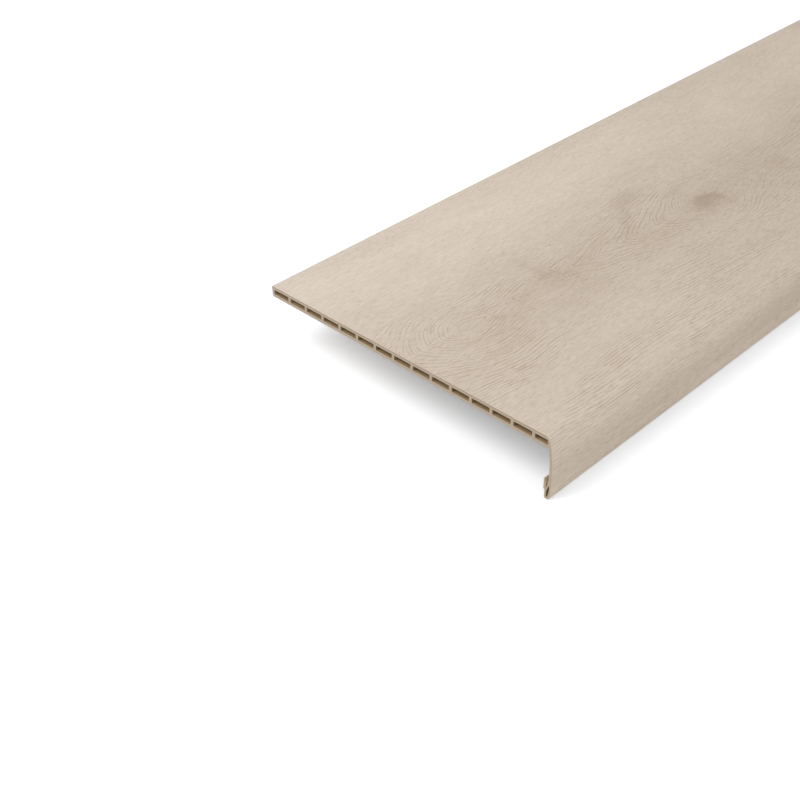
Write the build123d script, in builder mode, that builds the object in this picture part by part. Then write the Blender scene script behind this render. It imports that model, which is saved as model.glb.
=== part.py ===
from build123d import *
import os
from math import floor, sqrt

# A stair tread that covers an old step: one hollow extruded panel whose front edge turns down
# into a nose. Inside the nose's lower edge the same extrusion folds back up into a hook with a
# closed channel and a clip groove. Both ends are sawn square.
# Frame: +X along the tread, +Y from the nose to the back edge, +Z up, millimetres. The origin
# lies under the middle of the tread, level with the foot of the nose.

# Overall sizes
tread_length = 1000.0
tread_depth = 300.0
tread_height = 56.0

# Panel: two skins joined by ribs, with a wall along the back edge
panel_thickness = 9.8
top_skin = 2.7
bottom_skin = 2.8
rib_thickness = 2.5
rib_pitch = 20.0
back_wall = 2.8
chamber_corner_radius = 0.8
least_front_chamber = 7.0
back_top_radius = 0.4
back_bottom_radius = 1.8

# Nose: its face leans back over the top stretch and is plumb below that
nose_wall = 2.4
nose_lean = 4.25
nose_lean_drop = 28.0
nose_top_radius = 5.0
nose_inner_radius = 1.5

# Hook: the nose's foot, the hollow channel above it and the wall behind
hook_width = 5.7
hook_wall = 1.6
foot_thickness = 2.4
foot_curve_height = 10.0
foot_setback = 1.8
foot_front_radius = 1.8
foot_back_radius = 1.2
channel_shoulder = 7.3
channel_rise = 6.9
channel_corner_radius = 0.3

# Clip: a groove that opens upwards between the nose and a lip on top of the hook
clip_web = 2.8
clip_step = 1.1
clip_step_height = 7.8
clip_lip = 0.9
clip_lip_radius = 0.35
groove_depth = 8.3
groove_front_rise = 1.0


def arc_setback(lean, span, distance):
    """Set-back of an arc that starts plumb and has leaned by lean after span, at a distance along span."""
    radius = (lean**2 + span**2) / (2 * lean)
    return radius - sqrt(radius**2 - distance**2)


# Planes that the section is drawn from
front = -tread_depth / 2
back = tread_depth / 2
top = tread_height
underside = top - panel_thickness
nose_plumb = top - nose_lean_drop


def nose_setback(height):
    """How far the nose's face stands behind the front plane at a height above its plumb stretch."""
    return arc_setback(nose_lean, nose_lean_drop, max(height - nose_plumb, 0.0))


# Corners of the panel and the nose
nose_inner = front + nose_wall
nose_top_corner = (front + nose_lean, top)
nose_inner_corner = (nose_inner + nose_setback(underside), underside)
nose_inner_top = (nose_inner + nose_lean, top)
panel_front_foot = (front + nose_wall / 2 + nose_setback(underside), underside)
panel_front_top = (front + nose_wall / 2 + nose_lean, top)

# Chambers, counted from the back wall; the front one ends at the nose's wall
chamber_ceiling = top - top_skin
chamber_floor = underside + bottom_skin
chamber_height = chamber_ceiling - chamber_floor
chamber_width = rib_pitch - rib_thickness
front_chamber_end = nose_inner + nose_setback(chamber_ceiling)
chambers_end = back - back_wall
chamber_count = floor((chambers_end - front_chamber_end - least_front_chamber) / rib_pitch)
front_chamber_start = chambers_end - chamber_count * rib_pitch
chamber_centres = [
    (chambers_end - i * rib_pitch - chamber_width / 2, (chamber_ceiling + chamber_floor) / 2)
    for i in range(chamber_count)
]

# Corners of the hook's channel
hook_back = front + hook_width
channel_front = front + hook_wall
channel_back = hook_back - hook_wall
channel_top = channel_shoulder + channel_rise
channel_toe = channel_front + arc_setback(
    foot_setback, foot_curve_height, max(foot_curve_height - foot_thickness, 0.0)
)

# Corners of the clip groove, whose tip stands over the low end of the channel's sloping roof
groove_tip = (channel_back, channel_shoulder + clip_web)
clip_top = groove_tip[1] + groove_depth
clip_back = hook_back + clip_step
lip_front = clip_back - clip_lip
groove_front_top = clip_top + groove_front_rise

with BuildPart() as tread:
    with BuildSketch(Plane.YZ.offset(-tread_length / 2)) as section:
        # Panel, starting inside the nose's wall
        with BuildLine():
            Polyline(panel_front_foot, panel_front_top, (back, top), (back, underside), close=True)
        make_face()

        # Nose wall, from the top of the foot's curve up to the walking face
        with BuildLine():
            Line((front, foot_curve_height), (front, nose_plumb))
            TangentArc((front, nose_plumb), nose_top_corner, tangent=(0, 1))
            Line(nose_top_corner, nose_inner_top)
            TangentArc((nose_inner, nose_plumb), nose_inner_top, tangent=(0, 1))
            Line((nose_inner, nose_plumb), (nose_inner, foot_curve_height))
            Line((nose_inner, foot_curve_height), (front, foot_curve_height))
        make_face()

        # Hook and clip, starting inside the nose's wall
        with BuildLine():
            TangentArc((front, foot_curve_height), (front + foot_setback, 0), tangent=(0, -1))
            Polyline(
                (front + foot_setback, 0),
                (hook_back, 0),
                (hook_back, clip_step_height),
                (clip_back, clip_step_height + clip_step),
                (clip_back, clip_top),
                (lip_front, clip_top),
                groove_tip,
                (nose_inner, groove_front_top),
                (front + nose_wall / 2, groove_front_top),
                (front + nose_wall / 2, foot_curve_height),
                (front, foot_curve_height),
            )
        make_face()

        # Hollow channel in the hook
        with BuildLine():
            FilletPolyline(
                (channel_front, channel_top),
                (channel_back, channel_shoulder),
                (channel_back, foot_thickness),
                (channel_toe, foot_thickness),
                (channel_front, foot_curve_height),
                radius=channel_corner_radius,
                close=True,
            )
        make_face(mode=Mode.SUBTRACT)

        # Chambers between the ribs
        with Locations(*chamber_centres):
            RectangleRounded(chamber_width, chamber_height, chamber_corner_radius, mode=Mode.SUBTRACT)
        with BuildLine():
            FilletPolyline(
                (front_chamber_start, chamber_ceiling),
                (front_chamber_start, chamber_floor),
                (nose_inner + nose_setback(chamber_floor), chamber_floor),
                (front_chamber_end, chamber_ceiling),
                radius=chamber_corner_radius,
                close=True,
            )
        make_face(mode=Mode.SUBTRACT)

        # Rounded corners along the tread
        rounded_corners = [
            (nose_top_corner, nose_top_radius),
            (nose_inner_corner, nose_inner_radius),
            ((back, top), back_top_radius),
            ((back, underside), back_bottom_radius),
            ((front + foot_setback, 0), foot_front_radius),
            ((hook_back, 0), foot_back_radius),
            ((clip_back, clip_top), clip_lip_radius),
            ((lip_front, clip_top), clip_lip_radius),
        ]
        for corner, radius in rounded_corners:
            fillet(section.vertices().sort_by_distance(corner)[0], radius)
    extrude(amount=tread_length)

tread.part.label = "tread"
os.makedirs("parts", exist_ok=True)
export_step(tread.part, "parts/tread.step")
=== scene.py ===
import math

import bpy
import numpy as np
from mathutils import Matrix, Vector, geometry, noise


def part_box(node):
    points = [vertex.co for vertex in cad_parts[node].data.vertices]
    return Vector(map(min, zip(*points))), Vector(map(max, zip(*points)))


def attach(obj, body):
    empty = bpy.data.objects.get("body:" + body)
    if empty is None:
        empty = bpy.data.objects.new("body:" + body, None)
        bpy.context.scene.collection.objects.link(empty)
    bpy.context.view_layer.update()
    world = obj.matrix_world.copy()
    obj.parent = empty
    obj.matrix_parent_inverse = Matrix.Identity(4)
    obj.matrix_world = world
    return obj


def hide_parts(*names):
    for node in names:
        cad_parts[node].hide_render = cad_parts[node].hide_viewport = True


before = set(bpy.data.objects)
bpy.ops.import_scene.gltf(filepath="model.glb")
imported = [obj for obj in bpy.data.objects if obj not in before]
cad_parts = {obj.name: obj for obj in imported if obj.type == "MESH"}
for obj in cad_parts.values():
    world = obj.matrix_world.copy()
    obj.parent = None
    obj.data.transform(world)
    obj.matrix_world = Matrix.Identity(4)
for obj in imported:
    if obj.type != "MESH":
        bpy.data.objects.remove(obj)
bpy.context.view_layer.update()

# Tread
# One hollow extrusion of filled plastic, sawn square at both ends, that is glued over an old step.
# The walking face, the nose and its foot carry a printed oak film, and the grain was pressed into
# the film while it was warm. The underside, the chambers and the hook are bare.
end_low, end_high = (corner.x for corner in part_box("tread"))
front, back = (corner.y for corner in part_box("tread"))
foot, top = (corner.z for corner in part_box("tread"))

# Its section: the panel with its chambers
panel_thickness = 0.0098
top_skin = 0.0027
bottom_skin = 0.0028
rib = 0.0025
rib_pitch = 0.020
back_wall = 0.0028
chamber_corner = 0.0008
chamber_count = 14
back_top_edge = 0.0004
back_bottom_edge = 0.0018

# Its section: the nose, which leans back near the top, and the hook in its foot
nose_wall = 0.0024
nose_lean = 0.00425
nose_lean_drop = 0.028
nose_edge = 0.005
nose_inner_edge = 0.0015
hook_width = 0.0057
hook_wall = 0.0016
foot_thickness = 0.0024
foot_curve = 0.010
foot_setback = 0.0018
foot_front_edge = 0.0018
foot_back_edge = 0.0012
channel_shoulder = 0.0073
channel_rise = 0.0069
channel_edge = 0.0003
clip_web = 0.0028
clip_step = 0.0011
clip_step_height = 0.0078
clip_lip = 0.0009
clip_lip_edge = 0.00035
groove_depth = 0.0083
groove_front_rise = 0.001

# How finely the film's relief is cut, across and along the tread, and how far arcs turn in a step
relief_step = 0.001
relief_row = 0.004
arc_turn = math.radians(9)


def arc(centre, radius, start, end, turn=arc_turn):
    """Points on an arc of a section, from one angle to another, both ends included."""
    count = max(1, math.ceil(abs(end - start) / turn))
    angles = [start + (end - start) * i / count for i in range(count + 1)]
    return [(centre[0] + radius * math.cos(a), centre[1] + radius * math.sin(a)) for a in angles]


def rounded(corners, closed=True):
    """A section's outline through (y, z, edge radius) corners, with the edges rounded."""
    points = []
    last = len(corners) - 1
    for i, (y, z, radius) in enumerate(corners):
        if radius == 0 or (not closed and i in (0, last)):
            points.append((y, z))
            continue
        here = Vector((y, z))
        before = (Vector(corners[i - 1][:2]) - here).normalized()
        after = (Vector(corners[(i + 1) % len(corners)][:2]) - here).normalized()
        half = before.angle(after) / 2
        centre = here + (before + after).normalized() * radius / math.sin(half)
        reach = radius / math.tan(half)
        start = here + before * reach - centre
        turn = start.angle_signed(here + after * reach - centre)
        first = math.atan2(start.y, start.x)
        points += arc(centre, radius, first, first - turn)
    return points


def leaning_face(plumb_y, plumb_z, lean, span, flat_z, edge):
    """A face that starts plumb and leans back on an arc until a rounded edge turns it into a flat."""
    face_radius = (lean**2 + span**2) / (2 * lean)
    side = 1 if flat_z > plumb_z else -1
    centre = (plumb_y + face_radius, plumb_z)
    edge_z = flat_z - side * edge
    edge_y = centre[0] - math.sqrt((face_radius - edge) ** 2 - (edge_z - plumb_z) ** 2)
    meet = math.atan2(edge_z - plumb_z, edge_y - centre[0])
    meet = meet if side > 0 else meet + 2 * math.pi
    flat_angle = side * math.pi / 2 % (2 * math.pi)
    face = arc(centre, face_radius, math.pi, meet, relief_step / face_radius)
    return face + arc((edge_y, edge_z), edge, meet, flat_angle)[1:]


def face_setback(lean, span, distance):
    """How far such a leaning face stands back at a distance from where it is plumb."""
    face_radius = (lean**2 + span**2) / (2 * lean)
    return face_radius - math.sqrt(face_radius**2 - distance**2)


def divided(points, step):
    """The same open outline with its long stretches cut into steps."""
    out = [points[0]]
    for a, b in zip(points, points[1:]):
        count = max(1, round(math.dist(a, b) / step))
        out += [tuple(Vector(a).lerp(Vector(b), k / count)) for k in range(1, count + 1)]
    return out


# Where the section's faces lie
underside = top - panel_thickness
chamber_ceiling = top - top_skin
chamber_floor = underside + bottom_skin
plumb = top - nose_lean_drop
nose_inner = front + nose_wall
hook_back = front + hook_width
channel_front = front + hook_wall
channel_back = hook_back - hook_wall
groove_tip = foot + channel_shoulder + clip_web
clip_top = groove_tip + groove_depth
clip_back = hook_back + clip_step

# The stretch of the outline that carries the film, from the back edge over the nose to the foot
nose_face = leaning_face(front, plumb, nose_lean, nose_lean_drop, top, nose_edge)
foot_face = leaning_face(front, foot + foot_curve, foot_setback, foot_curve, foot, foot_front_edge)
film_line = divided(
    [(back - back_top_edge, top)] + nose_face[::-1] + foot_face + [(hook_back - foot_back_edge, foot)],
    relief_step,
)

# The bare stretch, from the foot up the hook, the nose's inner face and the underside to the back
hook_line = rounded(
    [
        (hook_back - foot_back_edge, foot, 0),
        (hook_back, foot, foot_back_edge),
        (hook_back, foot + clip_step_height, 0),
        (clip_back, foot + clip_step_height + clip_step, 0),
        (clip_back, clip_top, clip_lip_edge),
        (clip_back - clip_lip, clip_top, clip_lip_edge),
        (channel_back, groove_tip, 0),
        (nose_inner, clip_top + groove_front_rise, 0),
    ],
    closed=False,
)
nose_inner_line = leaning_face(nose_inner, plumb, nose_lean, nose_lean_drop, underside, nose_inner_edge)
back_line = rounded(
    [
        nose_inner_line[-1] + (0,),
        (back, underside, back_bottom_edge),
        (back, top, back_top_edge),
        film_line[0] + (0,),
    ],
    closed=False,
)
bare_line = hook_line[1:] + nose_inner_line + back_line[1:-1]

# The hollows: the chambers between the ribs, the front one against the nose, and the hook's channel
chamber_end = back - back_wall
hollows = []
for i in range(chamber_count):
    right = chamber_end - i * rib_pitch
    left = right - rib_pitch + rib
    corners = [
        (left, chamber_floor),
        (right, chamber_floor),
        (right, chamber_ceiling),
        (left, chamber_ceiling),
    ]
    hollows.append(rounded([corner + (chamber_corner,) for corner in corners]))
front_chamber = chamber_end - chamber_count * rib_pitch
ceiling_end = nose_inner + face_setback(nose_lean, nose_lean_drop, chamber_ceiling - plumb)
floor_end = nose_inner + face_setback(nose_lean, nose_lean_drop, chamber_floor - plumb)
corners = [
    (floor_end, chamber_floor),
    (front_chamber, chamber_floor),
    (front_chamber, chamber_ceiling),
    (ceiling_end, chamber_ceiling),
]
hollows.append(rounded([corner + (chamber_corner,) for corner in corners]))
channel_toe = channel_front + face_setback(foot_setback, foot_curve, foot_curve - foot_thickness)
corners = [
    (channel_toe, foot + foot_thickness),
    (channel_back, foot + foot_thickness),
    (channel_back, foot + channel_shoulder),
    (channel_front, foot + channel_shoulder + channel_rise),
    (channel_front, foot + foot_curve),
]
hollows.append(rounded([corner + (channel_edge,) for corner in corners]))

# The printed oak board: flat-sawn, so its ring lines run straight along it and close into eyes and
# chevrons over the heart of the log, which comes near the face and dips again: x, y, dip.
heart_run = [
    (-0.580, -0.004, 0.060),
    (-0.500, -0.006, 0.040),
    (-0.434, -0.010, 0.002),
    (-0.395, -0.009, 0.009),
    (-0.354, -0.009, 0.003),
    (-0.320, -0.012, 0.048),
    (-0.247, -0.018, 0.043),
    (-0.203, -0.021, 0.036),
    (-0.173, -0.023, 0.027),
    (-0.127, -0.027, 0.001),
    (-0.085, -0.029, 0.030),
    (-0.045, -0.030, 0.040),
    (0.060, -0.024, 0.040),
    (0.236, -0.016, 0.004),
    (0.300, -0.020, 0.030),
    (0.372, -0.024, 0.040),
    (0.520, -0.034, 0.004),
    (0.580, -0.036, 0.020),
]

# The rings: their width, how far across the heart bends them, how far across it tints them, and the
# power that shapes their chevrons, from pointed at 1 to round at 2
ring_width = 0.0029
figure_reach = 0.058
heart_half_width = 0.05
chevron_power = 1.5

# The knots and the darker marks of the print: x, y, half length, half width, slant, depth of colour
dark_marks = [
    (-0.128, -0.029, 0.019, 0.013, 0.0, 0.30),
    (-0.138, -0.030, 0.007, 0.007, 0.2, 0.13),
    (-0.132, -0.020, 0.009, 0.004, 0.2, 0.18),
    (-0.118, -0.025, 0.010, 0.006, -0.4, 0.24),
    (-0.113, -0.035, 0.003, 0.006, 0.0, 0.13),
    (-0.178, 0.027, 0.020, 0.010, 0.2, 0.20),
    (-0.204, 0.007, 0.020, 0.009, 0.8, 0.14),
    (-0.222, -0.010, 0.010, 0.008, 0.7, 0.10),
    (-0.331, 0.022, 0.005, 0.020, 0.0, 0.10),
    (-0.336, -0.004, 0.010, 0.009, 0.0, 0.06),
    (-0.318, -0.014, 0.014, 0.007, -0.7, 0.10),
    (-0.318, -0.034, 0.040, 0.026, 0.0, 0.12),
    (-0.415, -0.036, 0.036, 0.018, 0.0, 0.07),
    (-0.014, -0.036, 0.020, 0.013, 0.1, 0.15),
    (0.214, 0.052, 0.010, 0.006, 0.0, 0.26),
    (0.402, -0.061, 0.008, 0.005, 0.0, 0.20),
]

# Pin knots, which the ring lines swell round: x, y, size
pin_knots = [(0.214, 0.052, 0.015), (0.402, -0.061, 0.013)]
pin_knot_swell = 0.7
pin_knot_narrowing = 0.7

# Smooth places, where the ring lines fade out: x, y, half length, half width, slant, how far
smooth_marks = [
    (-0.127, -0.028, 0.030, 0.024, 0.0, 0.90),
    (-0.080, -0.034, 0.028, 0.034, 0.0, 0.70),
    (-0.330, -0.040, 0.030, 0.030, 0.0, 0.80),
    (-0.340, 0.012, 0.012, 0.032, 0.0, 0.65),
    (-0.434, -0.010, 0.014, 0.010, 0.0, 0.80),
    (-0.354, -0.009, 0.010, 0.008, 0.0, 0.60),
    (-0.030, -0.032, 0.030, 0.026, 0.0, 0.60),
]

# Unevenness of the print, in layers of noise: turns a metre along it and across it, seed, size
line_strays = [(7, 16, 1.7, 0.0036), (26, 60, 5.1, 0.0030), (75, 130, 9.3, 0.0012)]
ring_unevenness = [(4, 60, 3.3, 0.9)]
tone_clouds = [(9, 30, 7.7, 0.10), (30, 80, 2.2, 0.05)]
line_fading = [(11, 38, 6.6, 1.0)]

# The share of the straying that is left far from the heart, and how the clouds fade to the front
far_stray = 0.3
front_cloud_loss, front_cloud_span = 0.5, (-0.03, -0.09)

# Depth of the colour: the print's all over and over the heart, and what comes on over a span of y or x
base_tone = -0.10
heart_tone = 0.10
front_tone, front_tone_span = 0.20, (0.11, -0.02)
back_tone, back_tone_span = 0.06, (0.10, 0.15)
# A painted shade: the top darkens towards the right, where the softbox's light falls off
right_painted_shade, right_painted_shade_span = 0.16, (-0.5, 0.1)

# How bold the ring lines are: all over, over the heart, in the front half, and in the band behind
# the nose, where they are fainter away from the left end. In places they fade, less so over the heart.
base_boldness = 0.2
heart_boldness = 0.4
front_boldness, front_boldness_span = 0.3, (0.06, 0.0)
band_boldness, band_span = 0.4, (-0.03, -0.08)
band_loss, band_loss_span = 0.6, (-0.42, -0.25)
heart_fading, fading_span = 0.45, (-0.45, 0.4)


def eased(value, start, full):
    """A soft step from nought to one as a value goes from start to full, up or down."""
    share = min(max((value - start) / (full - start), 0.0), 1.0)
    return share * share * (3 - 2 * share)


def heart(x):
    """Where the log's heart runs under the board at x: y, and its dip below the face."""
    after = next(i for i, place in enumerate(heart_run) if place[0] > x)
    (x0, y0, dip0), (x1, y1, dip1) = heart_run[after - 1 : after + 1]
    share = (x - x0) / (x1 - x0)
    return y0 + (y1 - y0) * share, dip0 + (dip1 - dip0) * (share + eased(share, 0, 1)) / 2


def hump(distance, reach):
    """One at no distance, about a third at the reach, and soon nought past it."""
    return math.exp(-((distance / reach) ** 2))


def soft_mark(x, t, middle_x, middle_t, half_length, half_width, slant, strength):
    """How much one soft mark of the print shows at x along the board and t across it."""
    along = x - middle_x
    across = t - middle_t - slant * along
    return strength * hump(along, half_length) * hump(across, half_width)


def layered(along, across, layers):
    """The sum of layers of noise at a place on the board."""
    return sum(size * noise.noise((along * a, across * b, seed)) for a, b, seed, size in layers)


def board_figure_and_shade(x, t):
    """The print at x along and t across: ring count, tone with a painted shade towards the right, and how
    bold its ring lines are.
    """
    heart_y, dip = heart(x)
    stray_share = far_stray + (1 - far_stray) * hump(t - heart_y, heart_half_width)
    across = t + stray_share * layered(x, t, line_strays) - heart_y
    from_heart = (abs(across) ** chevron_power + dip**chevron_power) ** (1 / chevron_power)
    ring = abs(across) + (from_heart - abs(across)) * hump(across, figure_reach)
    for middle_x, middle_t, size in pin_knots:
        half_width = pin_knot_narrowing * size
        ring += pin_knot_swell * soft_mark(x, t, middle_x, middle_t, size, half_width, 0.0, size)
    count = ring / ring_width + layered(x, ring, ring_unevenness)
    near = hump(across, heart_half_width)

    tone_and_painted_light = base_tone + heart_tone * near + sum(soft_mark(x, t, *mark) for mark in dark_marks)
    tone_and_painted_light += front_tone * eased(t, *front_tone_span) + back_tone * eased(t, *back_tone_span)
    # Painted shade towards the right, where the light falls off
    tone_and_painted_light += right_painted_shade * eased(x, *right_painted_shade_span)
    tone_and_painted_light += layered(x, t, tone_clouds) * (1 - front_cloud_loss * eased(t, *front_cloud_span))

    band = eased(t, *band_span) * (1 - band_loss * eased(x, *band_loss_span))
    bold = base_boldness + heart_boldness * near + band_boldness * band
    bold += front_boldness * eased(t, *front_boldness_span)
    bold *= eased(layered(x, t, line_fading) + heart_fading * near, *fading_span)
    for mark in smooth_marks:
        bold *= 1 - soft_mark(x, t, *mark)
    return count, tone_and_painted_light, bold


def ring_groove(count):
    """How deep the pressed line of a growth ring is, from nought to one."""
    return 0.5 - 0.5 * math.cos(2 * math.pi * count)


# How deep the grain is pressed into the film, fading out along the film's two long edges
groove_relief = 0.00004
pore_relief = 0.00003
pressed_pores = [(30, 1.3, 4.4, 1.0)]
relief_fade = 0.003

# Painted light and shade down the nose: a painted light towards its top edge, and a painted shade over its
# lower half, which faces the tread's shadow on the paper. The shade is less again at its foot, which the
# paper lights, and the ring lines are smoother over that lower half.
nose_painted_light, nose_painted_light_span = 0.07, (0.034, 0.050)
nose_painted_shade, nose_painted_shade_span = 0.25, (0.050, 0.026)
lower_nose_smoothing = 0.7
foot_shade_easing, foot_shade_easing_span = 0.7, (0.018, 0.008)

# The film's grid: its line across the tread, repeated in rows along the tread
line = np.array(film_line)
steps = np.linalg.norm(np.diff(line, axis=0), axis=1)
run = np.concatenate([[0], np.cumsum(steps)])
tangent = np.gradient(line, run, axis=0)
tangent /= np.linalg.norm(tangent, axis=1)[:, None]
inward = np.stack([-tangent[:, 1], tangent[:, 0]], 1)
across_board = line[0, 0] - run
edge_fade = np.clip(np.minimum(run, run[-1] - run) / relief_fade, 0, 1)
row_count = round((end_high - end_low) / relief_row) + 1
rows = np.linspace(end_low, end_high, row_count)

places, figure_and_painted_light, boldness = [], [], []
for x in rows:
    for (y, z), t, n, soft in zip(film_line, across_board, inward, edge_fade):
        count, tone_and_painted_light, bold = board_figure_and_shade(x, t)
        # Painted light on the nose's upper part and painted shade on its lower half, put into the film's
        # tone
        nose_light_share = n[0] * eased(z, *nose_painted_light_span)
        nose_shade_share = eased(z, *nose_painted_shade_span) * (y < front + nose_lean)
        nose_shade_share *= 1 - foot_shade_easing * eased(z, *foot_shade_easing_span)
        tone_and_painted_light += nose_painted_shade * nose_shade_share - nose_painted_light * nose_light_share
        bold *= 1 - lower_nose_smoothing * nose_shade_share
        pore = max(0.0, layered(x, count, pressed_pores))
        relief = soft * (groove_relief * bold * ring_groove(count) + pore_relief * pore)
        places.append((x, y + n[0] * relief, z + n[1] * relief))
        figure_and_painted_light.append((t, count, tone_and_painted_light))
        boldness.append(bold)

# How far apart the ring lines stand, so that each line keeps one width
fewest_rings = 25
counts = np.array(figure_and_painted_light)[:, 1].reshape(row_count, len(film_line))
rings_a_metre = np.hypot(*np.gradient(counts, rows, across_board))
spacings = 1 / np.maximum(rings_a_metre, fewest_rings)
line_figure = [(bold, spacing, 0.0) for bold, spacing in zip(boldness, spacings.ravel())]

# Faces: the film's grid, then the bare bands and the hollows' walls, then the two sawn ends. What
# covers them is numbered in the order of the materials below.
width = len(film_line)
FILM, BARE, SAWN = range(3)
faces, kinds = [], []


def face(kind, *corner_numbers):
    """One face of the tread's mesh and what covers it."""
    faces.append(corner_numbers)
    kinds.append(kind)


for r in range(row_count - 1):
    for c in range(width - 1):
        a = r * width + c
        face(FILM, a, a + width, a + width + 1, a + 1)


def ring_at_both_ends(outline):
    """Vertex numbers of an outline at the low end and at the high end."""
    first = len(places)
    for x in (end_low, end_high):
        places.extend((x, y, z) for y, z in outline)
    figure_and_painted_light.extend([(0.0, 0.0, 0.0)] * (2 * len(outline)))
    line_figure.extend([(0.0, 0.0, 0.0)] * (2 * len(outline)))
    low = list(range(first, first + len(outline)))
    return low, [number + len(outline) for number in low]


def fan(film_column, low, high):
    """Bare band between one long edge of the film and a straight line beside it."""
    middle = len(film_column) // 2
    for a, b in zip(film_column[:middle], film_column[1:]):
        face(BARE, low, a, b)
    face(BARE, low, film_column[middle], high)
    for a, b in zip(film_column[middle:], film_column[middle + 1 :]):
        face(BARE, high, a, b)


bare_low, bare_high = ring_at_both_ends(bare_line)
for i in range(len(bare_line) - 1):
    face(BARE, bare_low[i], bare_high[i], bare_high[i + 1], bare_low[i + 1])
fan([r * width + width - 1 for r in range(row_count)], bare_low[0], bare_high[0])
fan([r * width for r in range(row_count)], bare_low[-1], bare_high[-1])

low_loops = [list(range(width)) + bare_low]
high_loops = [list(range((row_count - 1) * width, row_count * width)) + bare_high]
for outline in hollows:
    low, high = ring_at_both_ends(outline)
    for i in range(len(outline)):
        face(BARE, low[i - 1], high[i - 1], high[i], low[i])
    low_loops.append(low)
    high_loops.append(high)
for loops in (low_loops, high_loops):
    numbers = [number for loop in loops for number in loop]
    flat_loops = [[Vector((places[n][1], places[n][2], 0)) for n in loop] for loop in loops]
    for corners in geometry.tessellate_polygon(flat_loops):
        face(SAWN, *(numbers[k] for k in corners))

# The mesh, smooth but for the edges that turn sharply
sharp_from = math.radians(30)
mesh = bpy.data.meshes.new("tread_board")
mesh.from_pydata(places, [], faces)
mesh.polygons.foreach_set("material_index", kinds)
for name, values in (("figure_and_painted_light", figure_and_painted_light), ("line_figure", line_figure)):
    attribute = mesh.attributes.new(name, "FLOAT_VECTOR", "POINT")
    attribute.data.foreach_set("vector", np.array(values, np.float32).ravel())
mesh.validate()
tread = bpy.data.objects.new("tread_board", mesh)
bpy.context.scene.collection.objects.link(tread)
bpy.context.view_layer.objects.active = tread
tread.select_set(True)
bpy.ops.object.mode_set(mode="EDIT")
bpy.ops.mesh.select_all(action="SELECT")
bpy.ops.mesh.normals_make_consistent(inside=False)
bpy.ops.object.mode_set(mode="OBJECT")
mesh.shade_smooth()
mesh.set_sharp_from_angle(angle=sharp_from)


def material(name):
    """A new node material: its node tree and its Principled shader."""
    made = bpy.data.materials.new(name)
    made.use_nodes = True
    mesh.materials.append(made)
    return made.node_tree, made.node_tree.nodes["Principled BSDF"]


def node(tree, kind, inputs, **settings):
    """A shader node; its inputs take numbers, colours or the sockets that feed them."""
    made = tree.nodes.new("ShaderNode" + kind)
    for name, value in settings.items():
        setattr(made, name, value)
    for name, value in inputs.items():
        if isinstance(value, bpy.types.NodeSocket):
            tree.links.new(value, made.inputs[name])
        else:
            made.inputs[name].default_value = value
    return made


def times(tree, a, b):
    """The product of two sockets or numbers."""
    return node(tree, "Math", {0: a, 1: b}, operation="MULTIPLY").outputs[0]


def sum_of(tree, *parts):
    """The sum of sockets or numbers, each in a pair with its weight."""
    total = 0.0
    for socket, weight in parts:
        total = node(tree, "Math", {0: socket, 1: weight, 2: total}, operation="MULTIPLY_ADD").outputs[0]
    return total


def streaks(tree, *axes, seed=0.0, detail=3.0, roughness=0.55):
    """Noise drawn out along the grain, from nought to one: (socket, turns a metre) for each axis."""
    turns = {name: times(tree, *axis) for name, axis in zip("XYZ", axes)}
    place = node(tree, "CombineXYZ", {"Z": seed, **turns}).outputs["Vector"]
    made = node(tree, "TexNoise", {"Vector": place, "Scale": 1.0, "Detail": detail, "Roughness": roughness})
    return made.outputs["Fac"]


def ranged(tree, socket, low, high, to_low=0.0, to_high=1.0):
    """A soft step from one value to another as a socket passes from low to high."""
    inputs = {"Value": socket, "From Min": low, "From Max": high, "To Min": to_low, "To Max": to_high}
    return node(tree, "MapRange", inputs, interpolation_type="SMOOTHSTEP").outputs["Result"]


def blend(tree, share, first, second):
    """A colour between two, as the share goes from nought to one."""
    return node(tree, "Mix", {"Factor": share, "A": first, "B": second}, data_type="RGBA").outputs["Result"]


def lay_finish(tree, shader, colour, roughness, height, **bump):
    """Colour, roughness and fine relief of a surface, each from a socket."""
    normal = node(tree, "Bump", {"Height": height, **bump}).outputs["Normal"]
    for name, socket in (("Base Color", colour), ("Roughness", roughness), ("Normal", normal)):
        tree.links.new(socket, shader.inputs[name])


# The film: greige oak print, matt, with pores and ring lines that are printed and pressed alike.
# Where the rings stand far apart, fainter lines show halfway and a quarter of the way between them.
film_light = (0.760, 0.660, 0.555, 1)
film_dark = (0.412, 0.320, 0.228, 1)
film_roughness = 0.5

# Half widths of the lines, and the ring spacings over which the fainter ones come in
line_core = 0.0002
line_edge, half_line_edge, quarter_line_edge = 0.0010, 0.0009, 0.0008
half_line_share, half_line_span = 0.8, (0.0036, 0.0075)
quarter_line_share, quarter_line_span = 0.6, (0.008, 0.014)

# Levels of noise over which lines break off, fibres darken and pores open
gap_span, gap_left = (0.38, 0.62), 0.2
faintest_line = 0.15
streak_span = (0.3, 0.7)
pore_span = (0.54, 0.70)

tree, shader = material("oak_film")
# The mesh's figure holds the print's tone together with the painted light and shade of the nose and of the
# right part
figure_and_light_value = node(tree, "Attribute", {}, attribute_name="figure_and_painted_light").outputs["Vector"]
across, count, tone_and_painted_light = node(tree, "SeparateXYZ", {0: figure_and_light_value}).outputs
line_value = node(tree, "Attribute", {}, attribute_name="line_figure").outputs["Vector"]
bold, spacing = node(tree, "SeparateXYZ", {0: line_value}).outputs[:2]
place = node(tree, "TexCoord", {}).outputs["Object"]
along = node(tree, "SeparateXYZ", {0: place}).outputs["X"]
from_count = node(tree, "Math", {0: count, 1: 0.5}, operation="PINGPONG").outputs[0]


def lines_at(part, edge):
    """Lines of one width that stand at a part of the way from a whole ring count to the next."""
    off_part = sum_of(tree, (from_count, 1.0), (part, -1.0))
    off_line = times(tree, node(tree, "Math", {0: off_part}, operation="ABSOLUTE").outputs[0], spacing)
    return ranged(tree, off_line, edge, line_core)


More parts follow.
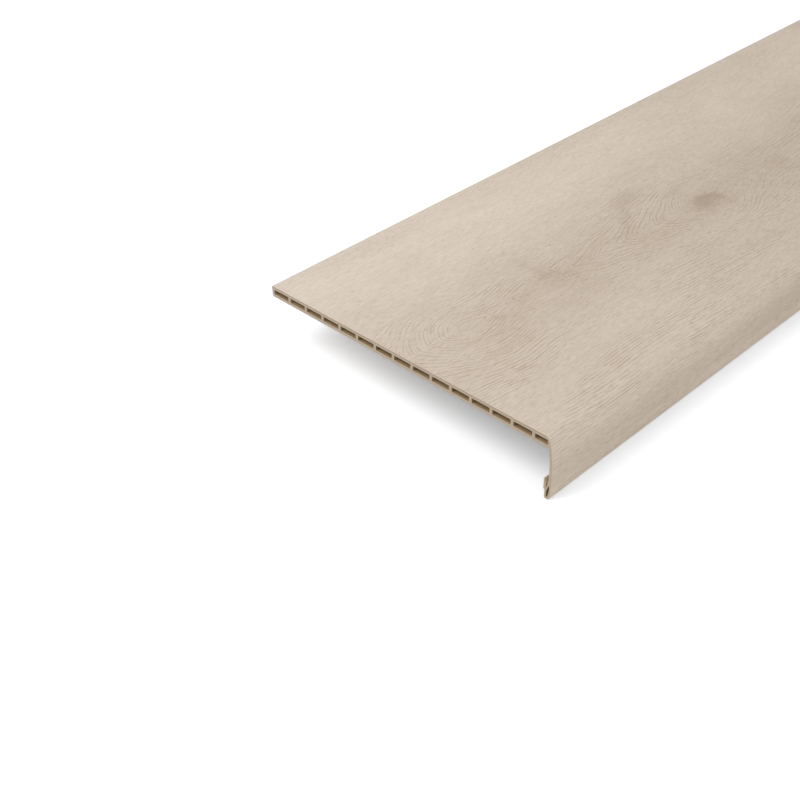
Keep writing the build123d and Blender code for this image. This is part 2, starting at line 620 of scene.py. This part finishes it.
half_lines = times(tree, lines_at(0.0, half_line_edge), ranged(tree, spacing, *half_line_span))
quarter_lines = times(tree, lines_at(0.25, quarter_line_edge), ranged(tree, spacing, *quarter_line_span))
whole_lines = sum_of(
    tree,
    (lines_at(0.5, line_edge), 1.0),
    (half_lines, half_line_share),
    (quarter_lines, quarter_line_share),
)
gaps = streaks(tree, (along, 55.0), (count, 0.9), seed=4.0)
broken_lines = times(tree, whole_lines, ranged(tree, gaps, *gap_span, gap_left))
ring_lines = times(tree, broken_lines, ranged(tree, bold, 0.0, 1.0, faintest_line))
fibres = streaks(tree, (along, 26.0), (across, 230.0))
fine_fibres = streaks(tree, (along, 110.0), (across, 1300.0), seed=5.0)
pores = ranged(tree, streaks(tree, (along, 160.0), (across, 1300.0), seed=8.0, detail=2.0), *pore_span)
bloom = streaks(tree, (along, 6.0), (across, 22.0), seed=2.0)
depth = sum_of(
    tree,
    (ring_lines, 0.42),
    (ranged(tree, fibres, *streak_span), 0.10),
    (ranged(tree, fine_fibres, *streak_span), 0.28),
    (pores, 0.32),
    (bloom, 0.08),
    (tone_and_painted_light, 1.0),
)
lay_finish(
    tree,
    shader,
    colour=blend(tree, depth, film_light, film_dark),
    roughness=sum_of(tree, (pores, 0.14), (fibres, 0.12), (film_roughness, 1.0)),
    height=sum_of(tree, (ring_lines, -0.6), (pores, -0.5), (fine_fibres, -0.4)),
    Strength=0.6,
    Distance=0.0001,
)

# Wood flour in the plastic: paler and darker specks that show wherever it is bare
speck_span = (0.35, 0.68)
flour = bpy.data.node_groups.new("wood_flour", "ShaderNodeTree")
for name, kind in (("Place", "NodeSocketVector"), ("Fineness", "NodeSocketFloat")):
    flour.interface.new_socket(name, in_out="INPUT", socket_type=kind)
flour.interface.new_socket("Specks", in_out="OUTPUT", socket_type="NodeSocketFloat")
given = flour.nodes.new("NodeGroupInput").outputs
speck = node(flour, "TexNoise", {"Vector": given["Place"], "Scale": given["Fineness"], "Detail": 4.0})
result = flour.nodes.new("NodeGroupOutput")
flour.links.new(ranged(flour, speck.outputs["Fac"], *speck_span), result.inputs["Specks"])

# The bare surface as it left the die: brownish, with faint lines along the tread, and paler behind
# the nose from the clip groove upwards
bare_light = (0.44, 0.325, 0.19, 1)
bare_dark = (0.32, 0.215, 0.11, 1)
bare_pale = (0.70, 0.60, 0.48, 1)
paling = 0.85
bare_roughness = (0.42, 0.58)
tree, shader = material("bare_plastic")
place = node(tree, "TexCoord", {}).outputs["Object"]
x, y, z = node(tree, "SeparateXYZ", {0: place}).outputs
specks = node(tree, "Group", {"Place": place, "Fineness": 900.0}, node_tree=flour).outputs["Specks"]
lines = streaks(tree, (x, 3.0), (y, 900.0), (z, 900.0))
depth = sum_of(tree, (specks, 0.35), (lines, 0.65))
above_channel = ranged(tree, z, groove_tip, groove_tip + groove_depth / 2, 0.0, paling)
pale_inside = times(tree, above_channel, ranged(tree, z, plumb + groove_depth, plumb - groove_depth))
lay_finish(
    tree,
    shader,
    colour=blend(tree, pale_inside, blend(tree, depth, bare_light, bare_dark), bare_pale),
    roughness=ranged(tree, lines, *streak_span, *bare_roughness),
    height=lines,
    Strength=0.5,
    Distance=0.00008,
)

# The sawn ends: dull and specked, with upright saw marks, and the film's edge as a thin dark line
sawn_light = (0.52, 0.425, 0.325, 1)
sawn_dark = (0.33, 0.25, 0.17, 1)
sawn_roughness = (0.62, 0.8)
film_edge_from, film_edge_full = 0.00098, 0.00063
tree, shader = material("sawn_plastic")
place = node(tree, "TexCoord", {}).outputs["Object"]
x, y, z = node(tree, "SeparateXYZ", {0: place}).outputs
specks = node(tree, "Group", {"Place": place, "Fineness": 1500.0}, node_tree=flour).outputs["Specks"]
marks = streaks(tree, (z, 60.0), (y, 1400.0), (x, 10.0))
edge = ranged(tree, z, top - film_edge_from, top - film_edge_full)
depth = sum_of(tree, (specks, 0.4), (marks, 0.4), (edge, 0.6))
lay_finish(
    tree,
    shader,
    colour=blend(tree, depth, sawn_light, sawn_dark),
    roughness=ranged(tree, specks, 0.0, 1.0, *sawn_roughness),
    height=marks,
    Strength=0.6,
    Distance=0.0001,
)

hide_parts("tread")
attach(tread, "root")

# Studio
# A sheet of white paper, laid flat under the tread in a pale room. A large softbox stands to the left
# behind the tread, and a smaller one stands low in front of its nose.
floor_half = 1.7
floor_mesh = bpy.data.meshes.new("floor")
floor_mesh.from_pydata(
    [(sx * floor_half, sy * floor_half, foot) for sx, sy in ((-1, -1), (1, -1), (1, 1), (-1, 1))],
    [],
    [(0, 1, 2, 3)],
)
floor = bpy.data.objects.new("floor", floor_mesh)
bpy.context.scene.collection.objects.link(floor)


def looked_at(tree):
    """One for rays that look at a surface, straight, mirrored or through something; nought for light."""
    path = node(tree, "LightPath", {}).outputs
    mirrored = {0: path["Is Glossy Ray"], 1: path["Is Transmission Ray"]}
    either = node(tree, "Math", mirrored, operation="MAXIMUM").outputs[0]
    return node(tree, "Math", {0: path["Is Camera Ray"], 1: either}, operation="MAXIMUM").outputs[0]


# The paper is white to look at and keeps the tread's shadow
paper_light, paper_seen = 0.9, 1.16
glow_colour = (0.70, 0.845, 1.0, 1)
glow_seen = 0.245
paper = bpy.data.materials.new("white_paper")
paper.use_nodes = True
floor_mesh.materials.append(paper)
tree = paper.node_tree
tree.nodes.clear()
looking = looked_at(tree)
paper_shade = ranged(tree, looking, 0.0, 1.0, paper_light, paper_seen)
sheet = node(tree, "BsdfDiffuse", {"Color": paper_shade}).outputs[0]
glow_strength = times(tree, looking, glow_seen)
glow = node(tree, "Emission", {"Color": glow_colour, "Strength": glow_strength}).outputs[0]
both = node(tree, "AddShader", {0: sheet, 1: glow}).outputs[0]
node(tree, "OutputMaterial", {"Surface": both})

# The room is white to look at and lights the tread at about half of that
room_light, room_seen = 0.55, 1.0
room = bpy.data.worlds.new("pale_room")
room.use_nodes = True
bpy.context.scene.world = room
tree = room.node_tree
background = tree.nodes["Background"]
background.inputs["Color"].default_value = (1, 1, 1, 1)
room_shade = ranged(tree, looked_at(tree), 0.0, 1.0, room_light, room_seen)
tree.links.new(room_shade, background.inputs["Strength"])

# The lamps: name, direction from the tread, size, power
lamp_aim = Vector((-0.35, 0.0, top))
lamp_distance = 3.0
for name, direction, size, power in (
    ("softbox", (-0.70, 0.40, 1.0), 1.9, 45.0),
    ("fill", (0.0, -1.0, 0.26), 1.4, 17.0),
):
    lamp = bpy.data.lights.new(name, "AREA")
    lamp.shape = "DISK"
    lamp.size = size
    lamp.energy = power
    stand = bpy.data.objects.new(name, lamp)
    toward = Vector(direction).normalized()
    stand.location = lamp_aim + toward * lamp_distance
    stand.rotation_euler = toward.to_track_quat("Z", "Y").to_euler()
    bpy.context.scene.collection.objects.link(stand)

# Camera
# A plain camera on a stand in front of the tread, to its left. It looks down past the sawn end and
# along the tread.
camera_place = (-1.0619, -0.5637, 0.6061)
camera_yaw = math.radians(44.829)
camera_pitch = math.radians(36.626)
camera_roll = math.radians(1.055)
focal_pixels = 1266.9
image_pixels = 800
sensor = 36.0
forward = Vector(
    (
        math.sin(camera_yaw) * math.cos(camera_pitch),
        math.cos(camera_yaw) * math.cos(camera_pitch),
        -math.sin(camera_pitch),
    )
)
level = Vector((math.cos(camera_yaw), -math.sin(camera_yaw), 0))
down = forward.cross(level)
right = math.cos(camera_roll) * level + math.sin(camera_roll) * down
up = right.cross(forward)
lens = bpy.data.cameras.new("camera")
lens.sensor_width = sensor
lens.lens = focal_pixels / image_pixels * sensor
camera = bpy.data.objects.new("camera", lens)
camera.matrix_world = Matrix.Translation(camera_place) @ Matrix((right, up, -forward)).transposed().to_4x4()
bpy.context.scene.collection.objects.link(camera)
bpy.context.scene.camera = camera

bpy.context.scene.view_settings.view_transform = "Standard"
